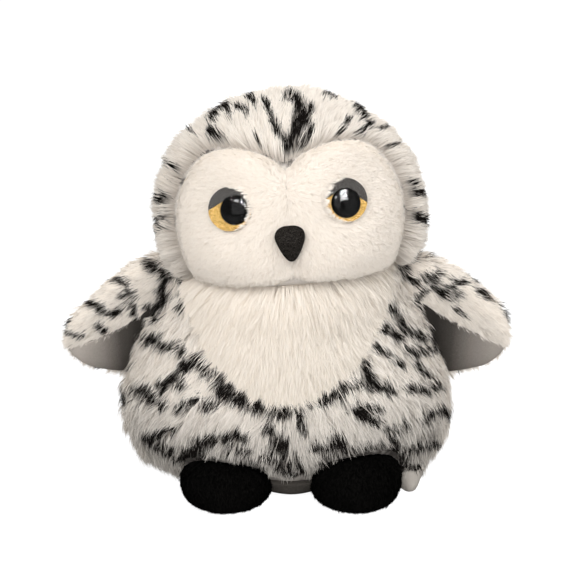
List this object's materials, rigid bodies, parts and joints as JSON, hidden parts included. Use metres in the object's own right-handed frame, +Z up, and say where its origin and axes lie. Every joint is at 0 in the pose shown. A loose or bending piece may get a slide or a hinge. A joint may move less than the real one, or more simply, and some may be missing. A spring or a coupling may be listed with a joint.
{
  "type": "plush owl",
  "caption": "Round sitting plush owl in mottled white fur with a heart-shaped pale face, domed eyes, mitten wings that flap, padded feet that lift and a tail flap.",
  "frame": {"origin": "on the surface that the owl sits on, under the middle of its body", "axes": "+Z up, the owl faces -Y, and +X is to the right of someone facing the owl"},
  "size_m": [0.2458, 0.176, 0.2107],
  "materials": {
    "mottled_fur": "matte",
    "face_plush": "matte",
    "black_plush": "matte",
    "wing_lining": "matte",
    "base_cloth": "matte",
    "beak_cloth": "matte",
    "stuffing": "matte",
    "pellets": "matte",
    "black_plastic": "gloss",
    "iris_glitter": "satin",
    "clear_plastic": "gloss",
    "washer_plastic": "matte"
  },
  "bodies": {
    "torso": {"crown_fur_left": "mottled_fur", "crown_fur_right": "mottled_fur", "face_left": "face_plush", "face_right": "face_plush", "head_stuffing": "stuffing", "beak_cover": "beak_cloth", "beak_stuffing": "stuffing", "eye_stem_left": "black_plastic", "eye_iris_left": "iris_glitter", "eye_lens_left": "clear_plastic", "eye_washer_left": "washer_plastic", "eye_stem_right": "black_plastic", "eye_iris_right": "iris_glitter", "eye_lens_right": "clear_plastic", "eye_washer_right": "washer_plastic", "chest_bib": "face_plush", "body_fur_left": "mottled_fur", "body_fur_right": "mottled_fur", "back_fur_left": "mottled_fur", "back_fur_right": "mottled_fur", "base_panel": "base_cloth", "body_stuffing": "stuffing", "pellet_bag": "pellets"},
    "wing_left": {"wing_fur_left": "mottled_fur", "wing_lining_left": "wing_lining", "wing_stuffing_left": "stuffing"},
    "wing_right": {"wing_fur_right": "mottled_fur", "wing_lining_right": "wing_lining", "wing_stuffing_right": "stuffing"},
    "foot_left": {"foot_top_left": "black_plush", "foot_sole_left": "black_plush", "foot_stuffing_left": "stuffing"},
    "foot_right": {"foot_top_right": "black_plush", "foot_sole_right": "black_plush", "foot_stuffing_right": "stuffing"},
    "tail": {"tail_top": "mottled_fur", "tail_underside": "mottled_fur"}
  },
  "joints": [
    {"name": "wing_flap_left", "type": "hinge", "parent": "torso", "child": "wing_left", "pos_m": [-0.06519, 0.002, 0.11], "axis": [0, 1, 0], "range_deg": [-5, 35], "stiffness_Nm_per_rad": 0.12},
    {"name": "wing_flap_right", "type": "hinge", "parent": "torso", "child": "wing_right", "pos_m": [0.06519, 0.002, 0.11], "axis": [0, -1, 0], "range_deg": [-5, 35], "stiffness_Nm_per_rad": 0.12},
    {"name": "foot_lift_left", "type": "hinge", "parent": "torso", "child": "foot_left", "pos_m": [-0.0311, -0.04879, 0.011], "axis": [-1, 0, 0], "range_deg": [0, 14], "stiffness_Nm_per_rad": 0.08},
    {"name": "foot_lift_right", "type": "hinge", "parent": "torso", "child": "foot_right", "pos_m": [0.0365, -0.04727, 0.011], "axis": [-1, 0, 0], "range_deg": [0, 14], "stiffness_Nm_per_rad": 0.08},
    {"name": "tail_lift", "type": "hinge", "parent": "torso", "child": "tail", "pos_m": [0, 0.07233, 0.048], "axis": [1, 0, 0], "range_deg": [0, 30], "stiffness_Nm_per_rad": 0.08}
  ]
}
